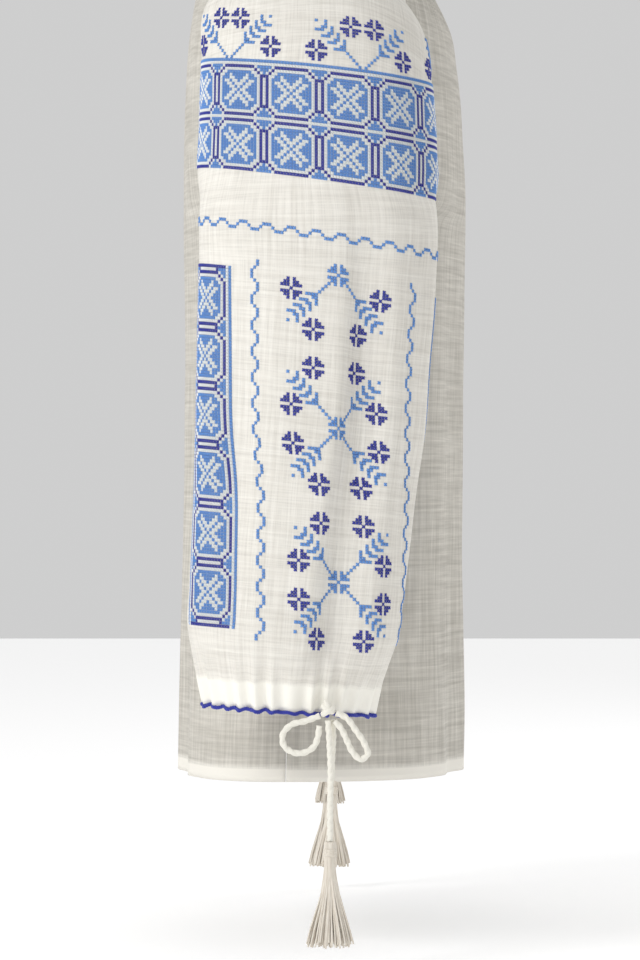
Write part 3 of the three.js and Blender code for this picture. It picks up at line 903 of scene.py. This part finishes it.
def knotPiece(hand):
    lines = []
    centre = np.array([bowX, -6.0, -636.0])
    for tilt, lift, radius in ((0.5, 0.0, 3.4), (-0.5, -1.5, 3.8), (1.2, 1.5, 3.0)):
        turn = np.linspace(0, 2 * math.pi, 33)
        ring = np.stack([0.8 * radius * np.cos(turn), 1.05 * radius * np.sin(turn) * math.cos(tilt),
                         radius * np.sin(turn) * math.sin(tilt) * 1.2 + lift], axis=1) + centre
        lines.append(ring * (np.array([-1, 1, 1]) if hand == "left" else 1) * mm)
    plyRadius = 2.3 * mm
    return threadPiece(f"bow_knot_{hand}", lines, plyRadius, 10, cordMaterial)


tasselSizes = {
    "outer": {"top": -736.3, "head": 10, "length": 80, "half": 19.0, "y": -7.6, "behind": 0,
              "flat": 0.6, "seed": 5},
    "inner": {"top": -691.8, "head": 9, "length": 65, "half": 14.6, "y": -9, "behind": 20,
              "flat": 0.55, "seed": 8},
}


strand = {"count": 150, "radius": 0.75, "wrapRadius": 4.3}


def tasselPiece(which, hand):
    size = tasselSizes[which]
    generator = np.random.default_rng(size["seed"])
    centre = np.array([bowX + size["behind"], size["y"], size["top"]])
    flat = np.array([size["flat"], 1, 1])
    down = np.array([0, 0.12, 0.2, 0.34, 0.5, 0.68, 0.85, 1.0])
    flare = np.array([0.9, 1.0, 0.7, 0.95, 1.5, 2.4, 3.3, 4.0])
    lines = []
    for k in range(strand["count"]):
        ring = math.sqrt(generator.uniform(0.05, 1))
        angle = generator.uniform(0, 2 * math.pi)
        length = size["length"] * generator.uniform(0.93, 1.0)
        sway = generator.uniform(-0.25, 0.25, 2)
        radius = ring * size["half"] * 0.95 * flare / flare[-1]
        radius = np.maximum(radius, ring * 2.6)
        bend = down ** 2
        x = radius * np.cos(angle + sway[0] * bend) + sway[1] * 2 * np.sin(down * 7)
        y = radius * np.sin(angle + sway[0] * bend) + sway[0] * 3 * np.sin(down * 6)
        keep = np.hypot(x, y) > size["half"] * 0.97
        scale = np.where(keep, size["half"] * 0.97 / np.maximum(np.hypot(x, y), 1e-6), 1)
        points = np.stack([x * scale, y * scale, -length * down], axis=1) * flat
        lines.append(points + centre)
    for lift in (0, 1.3, 2.6, 3.9):
        turn = np.linspace(0, 2 * math.pi, 25)
        wrap = np.stack([strand["wrapRadius"] * np.cos(turn), strand["wrapRadius"] * np.sin(turn),
                         0 * turn - size["head"] + lift], axis=1)
        lines.append(wrap * np.array([0.85, 1, 1]) + centre)
    if hand == "left":
        lines = [line * np.array([-1, 1, 1]) for line in lines]
    lines = [line * mm for line in lines]
    return threadPiece(f"tassel_{which}_strands_{hand}", lines, strand["radius"] * mm, 5, tasselMaterial)


cords = []
for hand, side in (("right", -1), ("left", 1)):
    mirror = hand == "left"
    inBow = lambda pairs: [[bowX, y, z] for y, z in pairs]
    behind = lambda rows: [[bowX + x, y, z] for x, y, z in rows]
    knot = knotPiece(hand)
    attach(knot, "root")
    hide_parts(f"knot_{hand}")
    for label, points, far in (("bow_loop_back", inBow(leftLoop), "object"),
                               ("bow_loop_front", inBow(rightLoop), "object"),
                               ("cord_end_outer", behind(frontEnd), "fitting"),
                               ("cord_end_inner", behind(backEnd), "fitting")):
        piece, path, length = twistedCord(f"twisted_{label}_{hand}", points, mirror)
        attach(piece, "root")
        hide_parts(f"{label}_{hand}")
        if far == "fitting":
            which = label.split("_")[-1]
            tassel = tasselPiece(which, hand)
            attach(tassel, "root")
            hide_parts(f"tassel_{which}_{hand}")
print("cords and tassels made")

# What rides and what it stands for.

for node, piece in shells.items():
    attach(piece, "root")
    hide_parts(node)
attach(binding, "root")
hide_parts("neck_binding")
for hand, piece in edgings.items():
    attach(piece, "root")
    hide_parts(f"cuff_edging_{hand}")
for name, piece in stitches.items():
    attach(piece, "root")
    colour = name.removeprefix("cross_stitch_").rsplit("_", 1)[0]

# Floor, light.

def addFloor():
    size, level = 6.0, cadBox[0][2] - 0.02
    corners = [(-size, -size, level), (size, -size, level), (size, size, level), (-size, size, level)]
    floor = addMesh("floor", corners, [[0, 1, 2, 3]])
    material, nodes, links, shader = newMaterial("paleFloor", 0.9)
    shader.inputs["Base Color"].default_value = (0.92, 0.92, 0.92, 1)
    shader.inputs["Emission Color"].default_value = (1, 1, 1, 1)
    shader.inputs["Emission Strength"].default_value = 0.32
    floor.data.materials.append(material)


def addLight(name, place, aim, size, power):
    data = bpy.data.lights.new(name, "AREA")
    data.shape = "SQUARE"
    data.size = size
    data.energy = power
    light = bpy.data.objects.new(name, data)
    light.location = place
    direction = np.array(aim) - np.array(place)
    light.rotation_euler = Vector(direction).to_track_quat("-Z", "Y").to_euler()
    bpy.context.scene.collection.objects.link(light)


addFloor()
addLight("key", (-1.9, 2.0, 1.1), (-0.2, 0, -0.4), 1.2, 38)
addLight("fill", (1.8, -2.2, 0.6), (0, 0, -0.4), 2.0, 14)
world = bpy.data.worlds.new("studio")
world.use_nodes = True
world.node_tree.nodes["Background"].inputs[0].default_value = (1, 1, 1, 1)
world.node_tree.nodes["Background"].inputs[1].default_value = 0.62
bpy.context.scene.world = world
bpy.context.scene.view_settings.view_transform = "Standard"
